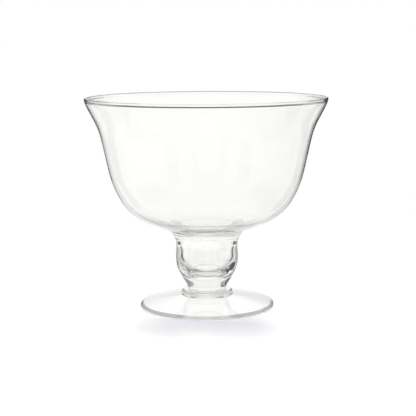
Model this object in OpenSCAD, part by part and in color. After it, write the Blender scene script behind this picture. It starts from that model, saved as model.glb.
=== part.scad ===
// Footed trifle bowl of clear glass, four hot-fused pieces: bowl, stem, merese and foot.
// Millimetres, Z up, the table at z = 0, the axis of the bowl on Z.
// Every profile is a chain of straight lengths and tangent arcs, fitted between its ends and spun about Z.
// A lean is measured from straight down, positive when the profile runs inward on its way down.

/* [Overall] */
// Height from the table to the top of the rim
overall_h = 200; // [170:1:230]
// Outside diameter of the rim
rim_d = 230; // [195:1:265]
// Outside diameter of the foot
foot_d = 128; // [118:1:136]

/* [Bowl] */
// Height of the bowl from the flat middle of its underside to the top of the rim
bowl_h = 128.4; // [124.4:0.2:131.4]
// Diameter of the fire-polished bead round the rim
rim_t = 3; // [2.6:0.1:3.4]
// Thickness of the bowl's wall below the bead
wall_t = 1.8; // [1.4:0.1:2.4]
// Thickness of the bowl's floor on the axis
floor_t = 5; // [4.6:0.2:6.4]
// Diameter of the dished part of the underside
dish_d = 96; // [82:1:112]
// Slope of the underside where its dish begins
floor_slope = 22; // [20:0.5:24]
// Slope of the inner floor where its dish begins
inner_slope = 12.5; // [8:0.5:14]
// Lean of the wall at the rim
rim_lean = 14; // [11:0.5:17]
// Lean of the flared lip
lip_lean = 27.5; // [25:0.5:30]
// Lean of the upright wall
wall_lean = 12.5; // [11:0.5:14]
// Lean where the belly hands over to the rounded base
belly_lean = 30.5; // [28:0.5:33]
// Radius of the lip's outward curve below the rim
lip_r = 35; // [28:1:42]
// Straight length of the flared lip
lip_len = 13; // [10:0.5:16]
// Radius of the bend from lip to wall
bend_r = 75; // [66:1:84]
// Straight length of the upright wall
wall_len = 30.3; // [26:0.1:35]
// Radius of the belly
belly_r = 95; // [86:1:104]
// Radius of the rounded base
base_r = 50.5; // [48:0.5:53]
// Straight length from the rounded base to the dish
base_len = 10; // [8:0.5:12]
// Radius of the rounded base inside
floor_r = 49; // [47:0.1:52]

/* [Stem] */
// Outside diameter of the ring where the stem is fused to the bowl
joint_d = 74; // [70:1:78]
// Lean of the stem's flared top at that ring
flare_lean = 50; // [46:1:54]
// Radius of the flared top
flare_r = 21.8; // [19:0.2:24]
// Outward lean of the waist above the bulge
waist_lean = 3.5; // [2:0.5:5]
// Straight length of the waist
waist_len = 6.8; // [5:0.1:9]
// Radius of the bulge
bulge_r = 35; // [32:1:38]
// Lean of the taper below the bulge
taper_lean = 30.5; // [28:0.5:33]
// Straight length of the taper
taper_len = 10; // [8:0.5:12]
// Radius of the curve into the neck
neck_curve_r = 9.6; // [8:0.2:11]
// Diameter of the neck
neck_d = 37; // [35:0.5:39]
// Diameter of the hollow at its top, and of the flat middle of the bowl's underside
cavity_d = 51.5; // [48:0.5:53]
// Lean of the hollow's side
cavity_lean = 4.5; // [3:0.5:6]
// Straight length of the hollow's side
cavity_len = 22; // [14:0.5:24]
// Radius of the hollow's lower side
cavity_side_r = 20; // [18:1:36]
// Lean where the hollow's side turns into its corner
cavity_end = 65; // [46:1:68]
// Radius of the hollow's corner
corner_r = 5; // [4:0.2:6]
// Thickness of the solid glass under the hollow
heel_t = 16; // [13:0.5:19]

/* [Merese] */
// Diameter of the flattened ring between stem and foot
merese_d = 48.5; // [46:0.5:51]
// Thickness of that ring
merese_h = 3.9; // [3.4:0.1:4.6]

/* [Foot] */
// Height of the foot at its middle
foot_h = 12.4; // [11.4:0.2:13.4]
// Thickness of the foot at its middle
foot_t = 4.2; // [3.6:0.1:4.8]
// Thickness of the rounded edge of the foot
edge_t = 3.6; // [3.2:0.1:4]
// Width of the flat ring the foot stands on
land_w = 2.2; // [1.6:0.1:2.8]

/* [Hidden] */
glass = [0.87, 0.93, 0.91];
spin_n = 128;
// Largest turn between two points of a long arc and of a small round, in degrees
arc_turn = 4;
round_turn = 22.5;

// Direction of a lean, the outward normal beside it, and the run of an arc between two leans
function dir(a) = [-sin(a), -cos(a)];
function outward(a) = [cos(a), -sin(a)];
function arc_run(r, a, b) = sign(b - a) * r * [cos(b) - cos(a), sin(a) - sin(b)];
// Equal parts that a turn is split into, and the points of an arc or a round after its first point
function parts(turn, most) = max(1, ceil(abs(turn) / most));
function arc_pts(p, r, a, b) = let (n = parts(b - a, arc_turn))
    [for (i = [1:n]) p + arc_run(r, a, a + (b - a) * i / n)];
function round_pts(c, r, a, b) = let (n = parts(b - a, round_turn))
    [for (i = [1:n]) let (t = a + (b - a) * i / n) c + r * [cos(t), sin(t)]];
// A shallow dish whose round is lowest on the axis, at height z: its height, and its points after the first
function dish_z(radius, r, z) = z + r - sqrt(r * r - radius * radius);
function dish_pts(radius_1, radius_2, r, z) =
    let (n = parts(asin(radius_1 / r) - asin(radius_2 / r), arc_turn))
    [for (i = [1:n]) let (radius = radius_1 + (radius_2 - radius_1) * i / n) [radius, dish_z(radius, r, z)]];
function reversed(v) = [for (i = [len(v) - 1:-1:0]) v[i]];
// Points of a chain from p, each step a straight [length, lean] or an arc [radius, lean, lean]
function step_pts(p, s) = len(s) == 2 ? [p + s[0] * dir(s[1])] : arc_pts(p, s[0], s[1], s[2]);
function chain(p, steps, i = 0) = i == len(steps) ? [p] :
    let (pts = step_pts(p, steps[i]), last = len(pts) - 1)
    concat([p], [for (j = [0:1:last - 1]) pts[j]], chain(pts[last], steps, i + 1));
// The same chain stretched along each axis so that it ends at q
function end_of(pts) = pts[len(pts) - 1];
function fitted(pts, q) = let (p = pts[0], r = end_of(pts))
    [for (t = pts) [for (i = [0, 1]) p[i] + (t[i] - p[i]) * (q[i] - p[i]) / (r[i] - p[i])]];

// Heights of the joints, and of both sides of the bowl's floor on the axis
merese_z = foot_h;
neck_z = merese_z + merese_h;
under_z = overall_h - bowl_h;
floor_z = under_z + floor_t;

// Ring where stem and bowl are fused: the dish of the bowl's underside, from its flat middle outward
dish_r = dish_d / 2 / sin(floor_slope);
joint_r = joint_d / 2;
cavity_top_r = cavity_d / 2;
dish_low = under_z - dish_z(cavity_top_r, dish_r, 0);
joint_pts = dish_pts(joint_r, cavity_top_r, dish_r, dish_low);

// Outside of the bowl from the rim down to the dish and the flat middle of its underside
rim_c = [(rim_d - rim_t) / 2, overall_h - rim_t / 2];
out_rim = rim_c + outward(rim_lean) * rim_t / 2;
out_dish = [dish_d / 2, dish_z(dish_d / 2, dish_r, dish_low)];
base_lean = 90 - floor_slope;
bowl_outside = concat(
    fitted(chain(out_rim, [
        [lip_r, rim_lean, lip_lean],
        [lip_len, lip_lean],
        [bend_r, lip_lean, wall_lean],
        [wall_len, wall_lean],
        [belly_r, wall_lean, belly_lean],
        [base_r, belly_lean, base_lean],
        [base_len, base_lean]
    ]), out_dish),
    dish_pts(dish_d / 2, joint_r, dish_r, dish_low),
    joint_pts,
    [[0, under_z]]
);

// Inside of the bowl, one wall thickness in, from where it leaves the bead down to the dish of its floor
bead_r = rim_t / 2;
bead_in = wall_t - bead_r;
bead_turn = acos(bead_in / bead_r);
in_rim = rim_c - outward(rim_lean) * bead_in;
in_bead = in_rim + dir(rim_lean) * bead_r * sin(bead_turn);
in_edge_r = dish_d / 2 - wall_t;
in_dish_r = in_edge_r / sin(inner_slope);
in_dish = [in_edge_r, dish_z(in_edge_r, in_dish_r, floor_z)];
in_chain = fitted(chain(in_rim, [
    [lip_r - wall_t, rim_lean, lip_lean],
    [lip_len, lip_lean],
    [bend_r + wall_t, lip_lean, wall_lean],
    [wall_len, wall_lean],
    [belly_r - wall_t, wall_lean, belly_lean],
    [floor_r, belly_lean, 90 - inner_slope]
]), in_dish);
bowl_inside = concat(
    [in_bead],
    [for (p = in_chain) if (norm(p - rim_c) > bead_r) p],
    dish_pts(in_edge_r, 0, in_dish_r, floor_z)
);
rim_round = concat(
    round_pts(rim_c, bead_r, 180 - rim_lean + bead_turn, 90),
    round_pts(rim_c, bead_r, 90, 0)
);

// Outside of the stem from the fused ring down to the neck
stem_top = [joint_r, dish_z(joint_r, dish_r, dish_low)];
stem_outside = fitted(chain(stem_top, [
    [flare_r, flare_lean, -waist_lean],
    [waist_len, -waist_lean],
    [bulge_r, -waist_lean, taper_lean],
    [taper_len, taper_lean],
    [neck_curve_r, taper_lean, 0]
]), [neck_d / 2, neck_z]);

// Hollow of the stem, closed above by the flat middle of the bowl's underside
cavity_z = neck_z + heel_t;
cavity_drawn = chain(end_of(joint_pts), [
    [cavity_len, cavity_lean],
    [cavity_side_r, cavity_lean, cavity_end],
    [corner_r, cavity_end, 90]
]);
cavity_fitted = fitted(cavity_drawn, [end_of(cavity_drawn)[0], cavity_z]);
cavity_inside = concat([for (i = [1:len(cavity_fitted) - 1]) cavity_fitted[i]], [[0, cavity_z]]);

// Foot: the upper side is the tangent from the middle pad to the rounded edge
edge_r = edge_t / 2;
edge_c = [foot_d / 2 - edge_r, edge_r];
pad_edge = [merese_d / 2, foot_h];
pad_slope = atan2(foot_h - edge_c[1], edge_c[0] - pad_edge[0]);
foot_slope = pad_slope - asin(edge_r / norm(edge_c - pad_edge));
under_pad_z = foot_h - foot_t;

module spin(outline) {
    color(glass) rotate_extrude($fn = spin_n) polygon(outline);
}

module bowl() {
    spin(concat(bowl_outside, reversed(bowl_inside), rim_round));
}

module stem() {
    spin(concat(reversed(stem_outside), joint_pts, cavity_inside, [[0, neck_z]]));
}

module merese() {
    merese_r = merese_h / 2;
    merese_c = [merese_d / 2 - merese_r, merese_z + merese_r];
    spin(concat(
        [[0, merese_z], [merese_c[0], merese_z]],
        round_pts(merese_c, merese_r, -90, 90),
        [[0, neck_z]]
    ));
}

module foot() {
    spin(concat(
        [[edge_c[0] - land_w, 0], [edge_c[0], 0]],
        round_pts(edge_c, edge_r, -90, 0),
        round_pts(edge_c, edge_r, 0, 90 - foot_slope),
        [pad_edge, [0, foot_h], [0, under_pad_z], [merese_d / 2, under_pad_z]]
    ));
}

bowl();
stem();
merese();
foot();
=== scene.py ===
"""Footed trifle bowl of clear glass: four lathed pieces over the CAD frame, on a white studio floor."""

from math import asin, atan2, ceil, cos, degrees, pi, radians, sin, sqrt

import bpy
from mathutils import Euler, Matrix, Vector

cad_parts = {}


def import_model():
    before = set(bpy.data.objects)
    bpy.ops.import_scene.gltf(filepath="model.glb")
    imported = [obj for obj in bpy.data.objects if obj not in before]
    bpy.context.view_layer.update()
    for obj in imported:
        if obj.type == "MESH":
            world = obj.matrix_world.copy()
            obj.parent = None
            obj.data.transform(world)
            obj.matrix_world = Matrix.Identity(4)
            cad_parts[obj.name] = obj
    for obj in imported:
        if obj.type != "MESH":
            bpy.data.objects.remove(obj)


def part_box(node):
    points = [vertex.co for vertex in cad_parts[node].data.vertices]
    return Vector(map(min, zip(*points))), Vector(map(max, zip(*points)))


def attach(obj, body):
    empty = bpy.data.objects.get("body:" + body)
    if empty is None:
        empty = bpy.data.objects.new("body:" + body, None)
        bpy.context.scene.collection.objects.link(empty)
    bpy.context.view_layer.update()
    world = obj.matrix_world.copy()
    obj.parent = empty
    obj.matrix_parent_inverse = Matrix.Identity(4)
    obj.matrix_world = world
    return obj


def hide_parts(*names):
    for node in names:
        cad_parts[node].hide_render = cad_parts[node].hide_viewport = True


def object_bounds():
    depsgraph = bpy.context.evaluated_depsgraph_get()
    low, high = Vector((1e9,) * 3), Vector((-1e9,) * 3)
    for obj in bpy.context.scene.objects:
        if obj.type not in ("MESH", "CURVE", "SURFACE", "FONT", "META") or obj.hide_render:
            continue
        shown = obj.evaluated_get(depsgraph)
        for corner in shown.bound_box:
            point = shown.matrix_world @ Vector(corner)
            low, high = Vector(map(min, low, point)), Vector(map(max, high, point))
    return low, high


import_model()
cad_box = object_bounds()

MM = 0.001

# Sizes of the profile in millimetres and degrees, as in the CAD source
OVERALL_H = cad_box[1][2] / MM
RIM_D = (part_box("bowl")[1][0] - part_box("bowl")[0][0]) / MM
FOOT_D = (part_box("foot")[1][0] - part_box("foot")[0][0]) / MM
FOOT_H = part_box("foot")[1][2] / MM
NECK_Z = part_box("merese")[1][2] / MM
MERESE_D = (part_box("merese")[1][0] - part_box("merese")[0][0]) / MM
BOWL_H = 128.4
RIM_T = 3
WALL_T = 1.8
FLOOR_T = 5
DISH_D = 96
FLOOR_SLOPE = 22
INNER_SLOPE = 12.5
RIM_LEAN = 14
LIP_LEAN = 27.5
WALL_LEAN = 12.5
BELLY_LEAN = 30.5
LIP_R = 35
LIP_LEN = 13
BEND_R = 75
WALL_LEN = 30.3
BELLY_R = 95
BASE_R = 50.5
BASE_LEN = 10
FLOOR_R = 49
JOINT_D = 74
FLARE_LEAN = 50
FLARE_R = 21.8
WAIST_LEAN = 3.5
WAIST_LEN = 6.8
BULGE_R = 35
TAPER_LEAN = 30.5
TAPER_LEN = 10
NECK_CURVE_R = 9.6
NECK_D = 37
CAVITY_D = 51.5
CAVITY_LEAN = 4.5
CAVITY_LEN = 22
CAVITY_SIDE_R = 20
CAVITY_END = 65
CORNER_R = 5
HEEL_T = 16
FOOT_T = 4.2
EDGE_T = 3.6
LAND_W = 2.2

# Drops below the rim: the bead eases into the wall between the first two, and is split finely to the third
BEAD_FROM = 1.8
BEAD_END = 4.0
BEAD_FINE = 8.0

# Heights of both sides of the bowl's floor, and the round of its underside outside the flat middle
UNDER_Z = OVERALL_H - BOWL_H
FLOOR_Z = UNDER_Z + FLOOR_T
JOINT_R = JOINT_D / 2
CAVITY_TOP_R = CAVITY_D / 2
DISH_R = DISH_D / 2 / sin(radians(FLOOR_SLOPE))
DISH_LOW = UNDER_Z - DISH_R + sqrt(DISH_R ** 2 - CAVITY_TOP_R ** 2)

# Thickness of the merese, and the radius of the flat where it is fused to the foot
MERESE_H = NECK_Z - FOOT_H
SEAT_R = (MERESE_D - MERESE_H) / 2

# Fineness of the lathed meshes, the radius that counts as on the axis,
# and the hair gap that keeps fused faces from lying on one another
SPIN_N = 256
ARC_TURN = 1.5
ROUND_TURN = 9
SHARP_TURN = 12
BEAD_STEP = 0.15
AXIS_R = 1e-6
FUSED_GAP = Vector((0, 0.01))


# Profiles, as points of radius and height

def lean_dir(a):
    """Direction of a lean, which is measured from straight down, positive running inward."""
    return Vector((-sin(radians(a)), -cos(radians(a))))


def outward(a):
    """Outward normal beside a lean."""
    return Vector((cos(radians(a)), -sin(radians(a))))


def parts(turn, most):
    """Equal parts that a turn is split into."""
    return max(1, ceil(abs(turn) / most))


def arc(p, r, a, b):
    """Points of an arc from p between two leans, after its first point."""
    n = parts(b - a, ARC_TURN)
    side = r if b > a else -r
    leans = [a + (b - a) * i / n for i in range(1, n + 1)]
    return [p + side * (outward(t) - outward(a)) for t in leans]


def bead(c, r, a, b):
    """Points of a small round about c between two angles, after its first point."""
    n = parts(b - a, ROUND_TURN)
    angles = [radians(a + (b - a) * i / n) for i in range(1, n + 1)]
    return [c + r * Vector((cos(t), sin(t))) for t in angles]


def dish_z(radius, r, z):
    """Height of a shallow dish whose round is lowest on the axis, at height z."""
    return z + r - sqrt(r * r - radius * radius)


def dish(radius_1, radius_2, r, z):
    """Points of that dish between two radii, after its first point."""
    n = parts(degrees(asin(radius_1 / r) - asin(radius_2 / r)), ARC_TURN)
    steps = [radius_1 + (radius_2 - radius_1) * i / n for i in range(1, n + 1)]
    return [Vector((s, dish_z(s, r, z))) for s in steps]


def chain(p, steps):
    """Points of a chain from p, each step a straight (length, lean) or an arc (radius, lean, lean)."""
    points = [p]
    for step in steps:
        if len(step) == 2:
            points.append(points[-1] + step[0] * lean_dir(step[1]))
        else:
            points += arc(points[-1], *step)
    return points


def fitted(points, q):
    """The same chain stretched along each axis so that it ends at q."""
    p, r = points[0], points[-1]
    k = [(q[i] - p[i]) / (r[i] - p[i]) for i in (0, 1)]
    return [Vector((p[0] + (t[0] - p[0]) * k[0], p[1] + (t[1] - p[1]) * k[1])) for t in points]


def smooth(x, low, high):
    """Smooth step from 0 at low to 1 at high."""
    k = min(1, max(0, (x - low) / (high - low)))
    return k * k * (3 - 2 * k)


def split(points, step):
    """The same points with the stretches between them split to steps of that length."""
    out = [points[0]]
    for p, q in zip(points, points[1:]):
        n = max(1, ceil((q - p).length / step))
        out += [p.lerp(q, i / n) for i in range(1, n + 1)]
    return out


def beaded(points):
    """The inside of the wall moved inward at the rim, where the bead is thicker than the wall."""
    out = []
    for p, q in zip(points, points[1:]):
        swell = (RIM_T - WALL_T) * (1 - smooth(OVERALL_H - p[1], BEAD_FROM, BEAD_END))
        along = (q - p).normalized()
        out.append(p - swell * Vector((-along[1], along[0])))
    return out + [points[-1]]


def runs(*stretches):
    """Joins stretches of points to an outline and gives the index range of the points of each."""
    outline = []
    spans = []
    for points in stretches:
        spans.append((len(outline), len(outline) + len(points)))
        outline += points
    return outline, spans


# Objects

def link(name, data):
    """A new object in the scene with that mesh or camera."""
    obj = bpy.data.objects.new(name, data)
    bpy.context.collection.objects.link(obj)
    return obj


def lathe(name, outline, fused):
    """A closed glass body of revolution; fused holds the outline's index ranges that lie in fused joints."""
    turns = [2 * pi * i / SPIN_N for i in range(SPIN_N)]
    verts = []
    rings = []
    for x, z in outline:
        if x < AXIS_R:
            rings.append([len(verts)])
            verts.append((0, 0, z * MM))
            continue
        rings.append(list(range(len(verts), len(verts) + SPIN_N)))
        verts += [(x * MM * cos(t), x * MM * sin(t), z * MM) for t in turns]
    faces = []
    slots = []
    for i, low in enumerate(rings):
        high = rings[(i + 1) % len(rings)]
        if len(low) == 1 and len(high) == 1:
            continue
        for j in range(SPIN_N):
            k = (j + 1) % SPIN_N
            if len(low) == 1:
                face = (low[0], high[k], high[j])
            elif len(high) == 1:
                face = (low[j], low[k], high[0])
            else:
                face = (low[j], low[k], high[k], high[j])
            faces.append(face)
            slots.append(1 if any(a <= i < b for a, b in fused) else 0)
    mesh = bpy.data.meshes.new(name)
    mesh.from_pydata(verts, [], faces)
    for material in GLASS:
        mesh.materials.append(material)
    mesh.polygons.foreach_set("material_index", slots)
    mesh.polygons.foreach_set("use_smooth", [True] * len(faces))
    mesh.validate()
    mesh.set_sharp_from_angle(angle=radians(SHARP_TURN))
    return link(name, mesh)


def place(obj, node):
    """The piece stands for its CAD node, which it hides, and moves with the object."""
    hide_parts(node)
    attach(obj, "root")


class Nodes:
    """Short forms for building a node tree."""

    def __init__(self, tree):
        self.nodes, self.links = tree.nodes, tree.links

    def feed(self, socket, value):
        if isinstance(value, bpy.types.NodeSocket):
            self.links.new(value, socket)
        else:
            socket.default_value = value

    def math(self, operation, *values):
        node = self.nodes.new("ShaderNodeMath")
        node.operation = operation
        for socket, value in zip(node.inputs, values):
            self.feed(socket, value)
        return node.outputs[0]

    def span(self, value, low, high, top=1, kind="LINEAR"):
        """From 0 at low to top at high, and level beyond them."""
        node = self.nodes.new("ShaderNodeMapRange")
        node.interpolation_type = kind
        for name, v in (("Value", value), ("From Min", low), ("From Max", high), ("To Max", top)):
            self.feed(node.inputs[name], v)
        return node.outputs["Result"]

    def step(self, value, low, high):
        """Smooth step from 0 at low to 1 at high."""
        return self.span(value, low, high, kind="SMOOTHSTEP")

    def over(self, value, limit):
        """1 where the value is above the limit, and 0 elsewhere."""
        return self.math("GREATER_THAN", value, limit)

    def pick(self, factor, a, b):
        """The value a where the factor is 0, and b where it is 1."""
        return self.math("MULTIPLY_ADD", factor, self.math("SUBTRACT", b, a), a)

    def axes(self, vector):
        """The three parts of a vector."""
        node = self.nodes.new("ShaderNodeSeparateXYZ")
        self.feed(node.inputs[0], vector)
        return node.outputs

    def mix(self, factor, a, b):
        """The shader a where the factor is 0, and b where it is 1."""
        node = self.nodes.new("ShaderNodeMixShader")
        for socket, value in zip(node.inputs, (factor, a, b)):
            self.feed(socket, value)
        return node.outputs["Shader"]

    def surface(self, shader):
        self.feed(self.nodes["Material Output"].inputs["Surface"], shader)


# Materials

# Heights between which the glass of the bowl becomes too thin to shade the floor, in millimetres
SHADE_TOP = (80, 92)
GLASS_TINT = (0.997, 0.993, 0.981)
GLASS_IOR = 1.52


def new_material(name):
    """A material and the short forms of its nodes."""
    mat = bpy.data.materials.new(name)
    mat.use_nodes = True
    return mat, Nodes(mat.node_tree)


def glass_material():
    """Clear fire-polished soda glass with a faint warm tint; its thin wall casts no shadow."""
    mat, k = new_material("clear_glass")
    shader = k.nodes["Principled BSDF"]
    shader.inputs["Base Color"].default_value = (*GLASS_TINT, 1)
    shader.inputs["Transmission Weight"].default_value = 1
    shader.inputs["IOR"].default_value = GLASS_IOR
    shader.inputs["Roughness"].default_value = 0
    height = k.axes(k.nodes.new("ShaderNodeNewGeometry").outputs["Position"])["Z"]
    thin = k.span(height, SHADE_TOP[0] * MM, SHADE_TOP[1] * MM)
    shadow = k.nodes.new("ShaderNodeLightPath").outputs["Is Shadow Ray"]
    clear = k.nodes.new("ShaderNodeBsdfTransparent").outputs["BSDF"]
    k.surface(k.mix(k.math("MULTIPLY", thin, shadow), shader.outputs["BSDF"], clear))
    return mat


def clear_material(name):
    """A material that every ray passes, with the short forms of its nodes and its shader."""
    mat, k = new_material(name)
    k.nodes.remove(k.nodes["Principled BSDF"])
    clear = k.nodes.new("ShaderNodeBsdfTransparent").outputs["BSDF"]
    k.surface(clear)
    return mat, k, clear


# The glass, and the faces inside the fused joints, where one gather of glass runs on into the next
GLASS = [glass_material(), clear_material("fused_joint")[0]]


# Bowl

def bowl():
    rim_c = Vector(((RIM_D - RIM_T) / 2, OVERALL_H - RIM_T / 2))
    out_rim = rim_c + outward(RIM_LEAN) * RIM_T / 2
    out_dish = Vector((DISH_D / 2, dish_z(DISH_D / 2, DISH_R, DISH_LOW)))
    outside = fitted(chain(out_rim, [
        (LIP_R, RIM_LEAN, LIP_LEAN),
        (LIP_LEN, LIP_LEAN),
        (BEND_R, LIP_LEAN, WALL_LEAN),
        (WALL_LEN, WALL_LEAN),
        (BELLY_R, WALL_LEAN, BELLY_LEAN),
        (BASE_R, BELLY_LEAN, 90 - FLOOR_SLOPE),
        (BASE_LEN, 90 - FLOOR_SLOPE),
    ]), out_dish) + dish(DISH_D / 2, JOINT_R, DISH_R, DISH_LOW)
    joint = dish(JOINT_R, CAVITY_TOP_R, DISH_R, DISH_LOW)
    ceiling = [Vector((0, UNDER_Z))]
    in_rim = rim_c - outward(RIM_LEAN) * (WALL_T - RIM_T / 2)
    in_edge_r = DISH_D / 2 - WALL_T
    in_dish_r = in_edge_r / sin(radians(INNER_SLOPE))
    in_dish = Vector((in_edge_r, dish_z(in_edge_r, in_dish_r, FLOOR_Z)))
    inside = fitted(chain(in_rim, [
        (LIP_R - WALL_T, RIM_LEAN, LIP_LEAN),
        (LIP_LEN, LIP_LEAN),
        (BEND_R + WALL_T, LIP_LEAN, WALL_LEAN),
        (WALL_LEN, WALL_LEAN),
        (BELLY_R - WALL_T, WALL_LEAN, BELLY_LEAN),
        (FLOOR_R, BELLY_LEAN, 90 - INNER_SLOPE),
    ]), in_dish)
    near_rim = sum(p[1] > OVERALL_H - BEAD_FINE for p in inside)
    inside = beaded(split(inside[:near_rim], BEAD_STEP) + inside[near_rim:])
    inside += dish(in_edge_r, 0, in_dish_r, FLOOR_Z)
    rim = bead(rim_c, RIM_T / 2, 180 - RIM_LEAN, 90) + bead(rim_c, RIM_T / 2, 90, -RIM_LEAN)[:-1]
    outline, spans = runs(
        outside[:-1], [outside[-1]] + joint[:-1], [joint[-1]] + ceiling, inside[::-1], rim,
    )
    outline.reverse()
    last = len(outline) - 1
    first, end = spans[1]
    return lathe("bowl_glass", outline, [(last - end, last - first)])


# Stem

def stem():
    top = Vector((JOINT_R, dish_z(JOINT_R, DISH_R, DISH_LOW)))
    outside = fitted(chain(top, [
        (FLARE_R, FLARE_LEAN, -WAIST_LEAN),
        (WAIST_LEN, -WAIST_LEAN),
        (BULGE_R, -WAIST_LEAN, TAPER_LEAN),
        (TAPER_LEN, TAPER_LEAN),
        (NECK_CURVE_R, TAPER_LEAN, 0),
    ]), Vector((NECK_D / 2, NECK_Z)))
    joint = dish(JOINT_R, CAVITY_TOP_R, DISH_R, DISH_LOW)
    cavity_z = NECK_Z + HEEL_T
    drawn = chain(joint[-1], [
        (CAVITY_LEN, CAVITY_LEAN),
        (CAVITY_SIDE_R, CAVITY_LEAN, CAVITY_END),
        (CORNER_R, CAVITY_END, 90),
    ])
    cavity = fitted(drawn, Vector((drawn[-1][0], cavity_z)))[1:] + [Vector((0, cavity_z))]
    outline, spans = runs(
        [Vector((0, NECK_Z)) + FUSED_GAP], [outside[-1] + FUSED_GAP], outside[-2:0:-1],
        [outside[0] - FUSED_GAP], [p - FUSED_GAP for p in joint], cavity,
    )
    top_ring = spans[3][0]
    return lathe("stem_glass", outline, [(0, 1), (top_ring, top_ring + len(joint))])


# Merese

def merese():
    edge_c = Vector((SEAT_R, FOOT_H + MERESE_H / 2))
    outline = [Vector((0, FOOT_H)) + FUSED_GAP, Vector((SEAT_R, FOOT_H)) + FUSED_GAP]
    outline += bead(edge_c, MERESE_H / 2, -90, 90)[:-1]
    outline += [Vector((SEAT_R, NECK_Z)), Vector((NECK_D / 2, NECK_Z)), Vector((0, NECK_Z))]
    last = len(outline)
    return lathe("merese_glass", outline, [(0, 1), (last - 2, last - 1)])


# Foot

def foot():
    edge_r = EDGE_T / 2
    edge_c = Vector((FOOT_D / 2 - edge_r, edge_r))
    pad = Vector((MERESE_D / 2, FOOT_H))
    gap = edge_c - pad
    slope = degrees(atan2(-gap[1], gap[0]) - asin(edge_r / gap.length))
    outline = [Vector((edge_c[0] - LAND_W, 0)), Vector((edge_c[0], 0))]
    outline += bead(edge_c, edge_r, -90, 0) + bead(edge_c, edge_r, 0, 90 - slope)
    seat = len(outline) + 1
    outline += [pad, Vector((SEAT_R, FOOT_H)), Vector((0, FOOT_H)), Vector((0, FOOT_H - FOOT_T))]
    outline += [Vector((MERESE_D / 2, FOOT_H - FOOT_T))]
    return lathe("foot_glass", outline, [(seat, seat + 1)])


for node, make in (("bowl", bowl), ("stem", stem), ("merese", merese), ("foot", foot)):
    place(make(), node)


# Camera, fitted to the ellipses of the rim and the foot

IMAGE_PX = 416
FOCAL_PX = 1207.8
CAMERA_AT = Vector((0, -1141.4, 261.8)) * MM
CAMERA_DOWN = 8.355
CAMERA_YAW = 0.065
CAMERA_ROLL = 0.3


def camera():
    data = bpy.data.cameras.new("camera")
    data.sensor_fit = "HORIZONTAL"
    data.lens = FOCAL_PX / IMAGE_PX * data.sensor_width
    obj = link("camera", data)
    obj.location = CAMERA_AT
    aim = Euler((radians(90 - CAMERA_DOWN), 0, radians(-CAMERA_YAW)), "XYZ").to_matrix()
    roll = Euler((0, 0, radians(-CAMERA_ROLL)), "XYZ").to_matrix()
    obj.rotation_euler = (aim @ roll).to_euler("XYZ")
    bpy.context.scene.camera = obj


camera()


# Floor, which glows in the colour of its deepest shadow; the lamp adds what is missing to white

FLOOR_HALF = 20
FLOOR_ALBEDO = 0.8
SHADOW_COLOR = (0.65, 0.63, 0.72)


def floor():
    """A wide floor, white to the camera, with the soft shadow; the glass sees the surround instead."""
    corners = [(x * FLOOR_HALF, y * FLOOR_HALF, 0) for x, y in ((-1, -1), (1, -1), (1, 1), (-1, 1))]
    mesh = bpy.data.meshes.new("floor")
    mesh.from_pydata(corners, [], [(0, 1, 2, 3)])
    mat, k = new_material("white_floor")
    k.nodes.remove(k.nodes["Principled BSDF"])
    diffuse = k.nodes.new("ShaderNodeBsdfDiffuse")
    diffuse.inputs["Color"].default_value = (FLOOR_ALBEDO, FLOOR_ALBEDO, FLOOR_ALBEDO, 1)
    glow = k.nodes.new("ShaderNodeEmission")
    glow.inputs["Color"].default_value = (*SHADOW_COLOR, 1)
    add = k.nodes.new("ShaderNodeAddShader")
    k.feed(add.inputs[0], diffuse.outputs["BSDF"])
    k.feed(add.inputs[1], glow.outputs["Emission"])
    k.surface(add.outputs["Shader"])
    mesh.materials.append(mat)
    obj = link("floor", mesh)
    obj.visible_transmission = False
    obj.visible_glossy = False


floor()


# Rings round the object that draw the rim, met only by rays that come through glass.
# Each has the radius and height of its two edges in millimetres.
# The dark band stands behind the front of the rim and shows straight through one thickness of glass.
# The marker has no colour: a ray that leaves the top of the rim and runs down crosses it.
RIM_BAND = ((200, 266), (200, 322))
RIM_BAND_LEVEL = 0.12
RIM_MARKER = ((113.6, 198.2), (121, 198.2))
RING_N = 96

# Refractions of a ray that passes one thickness of glass
ONE_WALL = 2


def ring(name, edges):
    """A clear ring of the stage, and the short forms and shader of its material."""
    turns = [2 * pi * i / RING_N for i in range(RING_N)]
    verts = [(r * MM * cos(t), r * MM * sin(t), z * MM) for r, z in edges for t in turns]
    sides = [(i, (i + 1) % RING_N) for i in range(RING_N)]
    mesh = bpy.data.meshes.new(name)
    mesh.from_pydata(verts, [], [(i, j, RING_N + j, RING_N + i) for i, j in sides])
    mat, k, clear = clear_material(name)
    mesh.materials.append(mat)
    obj = link(name, mesh)
    obj.visible_camera = False
    obj.visible_diffuse = False
    obj.visible_glossy = False
    obj.visible_shadow = False
    return k, clear


def rim_rings():
    ring("rim_marker", RIM_MARKER)
    k, clear = ring("rim_band", RIM_BAND)
    path = k.nodes.new("ShaderNodeLightPath").outputs
    bent = k.math("MAXIMUM", path["Glossy Depth"], k.over(path["Transmission Depth"], ONE_WALL))
    dark = k.nodes.new("ShaderNodeEmission")
    dark.inputs["Color"].default_value = (RIM_BAND_LEVEL, RIM_BAND_LEVEL, RIM_BAND_LEVEL, 1)
    k.surface(k.mix(bent, dark.outputs["Emission"], clear))


rim_rings()


# Lamp behind the object that lights only the floor: its height and half width in degrees,
# and the share of that half width by which its edge is soft to either side
LAMP_EL = 41
LAMP_HALF = 9
LAMP_SOFT = 0.3

# The white surround and its dark cards, by how a ray came through the glass.
# Levels go with the height of the ray in degrees; a card has two bearings, two heights and a level.
# The cards are repeated every quarter turn, so that the glass looks alike from all sides.
CARD_EVERY = 90
CARD_SOFT = 3
SHINE_SOFT = 8
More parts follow.
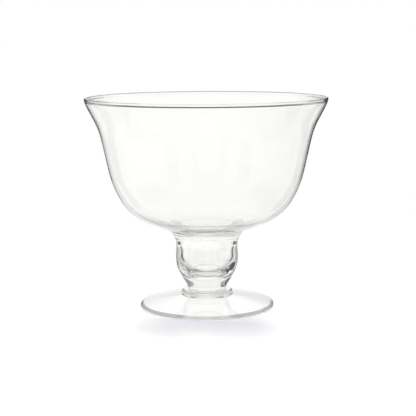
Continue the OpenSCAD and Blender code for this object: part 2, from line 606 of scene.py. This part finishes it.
# Straight through one thickness of glass: the foot, the rim and the outer edges
THIN_LEVELS = ((-16, 1.0), (9, 1.05), (18, 0.9), (24, 0.85), (34, 0.95), (50, 1.05))
# The same, past the marker of the rim's top or through a fused joint
RIM_LEVELS = ((-24, 0.45), (-14, 1.0))
# Straight through both walls of the bowl
WALL_LEVELS = ((-60, 0.96), (-40, 0.92), (0, 1.06), (40, 1.0))
WALL_CARDS = (((4, 24), (-20, 16), 0.95),)
# Reflected off the outside
SHINE_LEVELS = ((-22, 0.9), (22, 0.97), (45, 1.05))
SHINE_CARDS = (
    ((9, 33), (-18, 20), 0.0),
    ((28, 58), (-15, 34), 0.0),
    ((60, 79), (-16, 18), 0.0),
    ((29, 59), (-38, -18), 1.05),
)
# Reflected once inside one thickness of glass: the streaks of the stem
STREAK_LEVELS = ((-60, 0.8), (-30, 0.83), (-10, 1.05), (14, 0.95), (26, 0.4))
STREAK_CARDS = (
    ((34, 50), (-38, -16), 0.12),
    ((10, 71), (-9, 10), 0.0),
    ((-35, 18), (-48, -31), 0.38),
    ((51, 65), (-36, -19), 0.8),
    ((-11, 17), (-4, 36), 1.05),
)
# Reflected once inside after both walls: the line along the bowl's floor
BASE_LEVELS = ((-60, 0.61), (-40, 0.76), (-20, 1.05))
BASE_CARDS = (((-25, 23), (-36, -8), 0.0),)
# Reflected two or three times in one thickness: the feet of the streaks
TWICE_MOST = 3
TWICE_LEVELS = ((-60, 1.05), (-30, 0.0), (-5, 1.05), (10, 0.34), (40, 0.46), (60, 1.05))
TWICE_CARDS = (((8, 28), (18, 42), 0.0), ((52, 86), (-8, 38), 0.25), ((10, 48), (-30, 4), 0.0))
# Reflected four to six times in one thickness: the sides of the stem
DEEP_MOST = 6
DEEP_LEVELS = ((-30, 1.05), (0, 0.38), (30, 1.05))
DEEP_CARDS = (((12, 32), (22, 42), 0.0), ((48, 86), (-4, 34), 0.0), ((10, 48), (-30, 0), 0.0))
# Reflected two to six times after both walls
FAR_LEVELS = ((-30, 0.95), (0, 1.05), (30, 0.9), (60, 0.3))
# Reflected more often still: the edge of the foot and the joint under the bowl
LOST_LEVELS = ((-60, 0.1), (0, 0.45), (40, 0.95))


def ramp(k, height, stops):
    """Level against a ray's height, straight between the stops."""
    level = stops[0][1]
    for (low, a), (high, b) in zip(stops, stops[1:]):
        level = k.math("ADD", level, k.span(height, low, high, b - a))
    return level


def card_share(k, bearing, height, bearings, heights, soft):
    """Share of a soft-edged card at a ray's bearing and height."""
    middle, half = sum(bearings) / 2, (bearings[1] - bearings[0]) / 2
    off = k.math("WRAP", k.math("SUBTRACT", bearing, middle), CARD_EVERY / 2, -CARD_EVERY / 2)
    share = k.step(k.math("ABSOLUTE", off), half + soft, half - soft)
    share = k.math("MULTIPLY", share, k.step(height, heights[0] - soft, heights[0] + soft))
    return k.math("MULTIPLY", share, k.step(height, heights[1] + soft, heights[1] - soft))


def surround(k, path, coord):
    """Level of the surround for a ray from the glass, by how often it was refracted and reflected there."""
    x, y, z = k.axes(coord)
    height = k.math("DEGREES", k.math("ARCSINE", z))
    bearing = k.math("DEGREES", k.math("ARCTAN2", x, y))

    def seen(levels, cards=(), soft=CARD_SOFT):
        level = ramp(k, height, levels)
        for bearings, heights, card_level in cards:
            level = k.pick(card_share(k, bearing, height, bearings, heights, soft), level, card_level)
        return level

    def reflected(limit):
        return k.over(path["Glossy Depth"], limit)

    through = k.over(path["Transmission Depth"], 0)
    both_walls = k.over(path["Transmission Depth"], ONE_WALL)
    thin = k.pick(k.over(path["Transparent Depth"], 0), seen(THIN_LEVELS), seen(RIM_LEVELS))
    straight = k.pick(both_walls, thin, seen(WALL_LEVELS, WALL_CARDS))
    once = k.pick(both_walls, seen(STREAK_LEVELS, STREAK_CARDS), seen(BASE_LEVELS, BASE_CARDS))
    twice = seen(TWICE_LEVELS, TWICE_CARDS)
    deep = seen(DEEP_LEVELS, DEEP_CARDS)
    often = k.pick(both_walls, k.pick(reflected(TWICE_MOST), twice, deep), seen(FAR_LEVELS))
    many = k.pick(reflected(DEEP_MOST), often, seen(LOST_LEVELS))
    in_glass = k.pick(reflected(0), straight, k.pick(reflected(1), once, many))
    return k.pick(through, seen(SHINE_LEVELS, SHINE_CARDS, SHINE_SOFT), in_glass)


def lamp_share(k, coord):
    """Share of the soft lamp in a ray's direction."""
    dot = k.nodes.new("ShaderNodeVectorMath")
    dot.operation = "DOT_PRODUCT"
    k.feed(dot.inputs[0], coord)
    dot.inputs[1].default_value = (0, cos(radians(LAMP_EL)), sin(radians(LAMP_EL)))
    off = k.math("DEGREES", k.math("ARCCOSINE", dot.outputs["Value"]))
    return k.step(off, (1 + LAMP_SOFT) * LAMP_HALF, (1 - LAMP_SOFT) * LAMP_HALF)


def world():
    """White to the camera, the lamp to the floor, and to the glass the surround with its dark cards."""
    w = bpy.data.worlds.new("studio")
    bpy.context.scene.world = w
    w.use_nodes = True
    k = Nodes(w.node_tree)
    path = k.nodes.new("ShaderNodeLightPath").outputs
    coord = k.nodes.new("ShaderNodeTexCoord").outputs["Generated"]
    level = surround(k, path, coord)
    share = lamp_share(k, coord)
    lamp_size = 2 * pi * (1 - cos(radians(LAMP_HALF)))
    lamp_full = pi / (FLOOR_ALBEDO * lamp_size * sin(radians(LAMP_EL)))
    by_glass = k.over(k.math("ADD", path["Transmission Depth"], path["Glossy Depth"]), 0)
    by_floor = k.over(path["Diffuse Depth"], 0)
    for_floor = k.math("MAXIMUM", by_floor, k.math("SUBTRACT", 1, by_glass))
    color = k.nodes.new("ShaderNodeCombineColor")
    for socket, shadow in zip(color.inputs, SHADOW_COLOR):
        lamp = k.math("MULTIPLY", share, lamp_full * (1 - shadow))
        k.feed(socket, k.pick(path["Is Camera Ray"], k.pick(for_floor, level, lamp), 1))
    k.feed(k.nodes["Background"].inputs["Color"], color.outputs["Color"])


world()


# Bounces enough for light that is caught in the rim, the foot's edge and the joints
BOUNCES = 96

scene = bpy.context.scene
scene.view_settings.view_transform = "Standard"
scene.cycles.max_bounces = BOUNCES
scene.cycles.transmission_bounces = BOUNCES
scene.cycles.glossy_bounces = BOUNCES
scene.cycles.transparent_max_bounces = BOUNCES
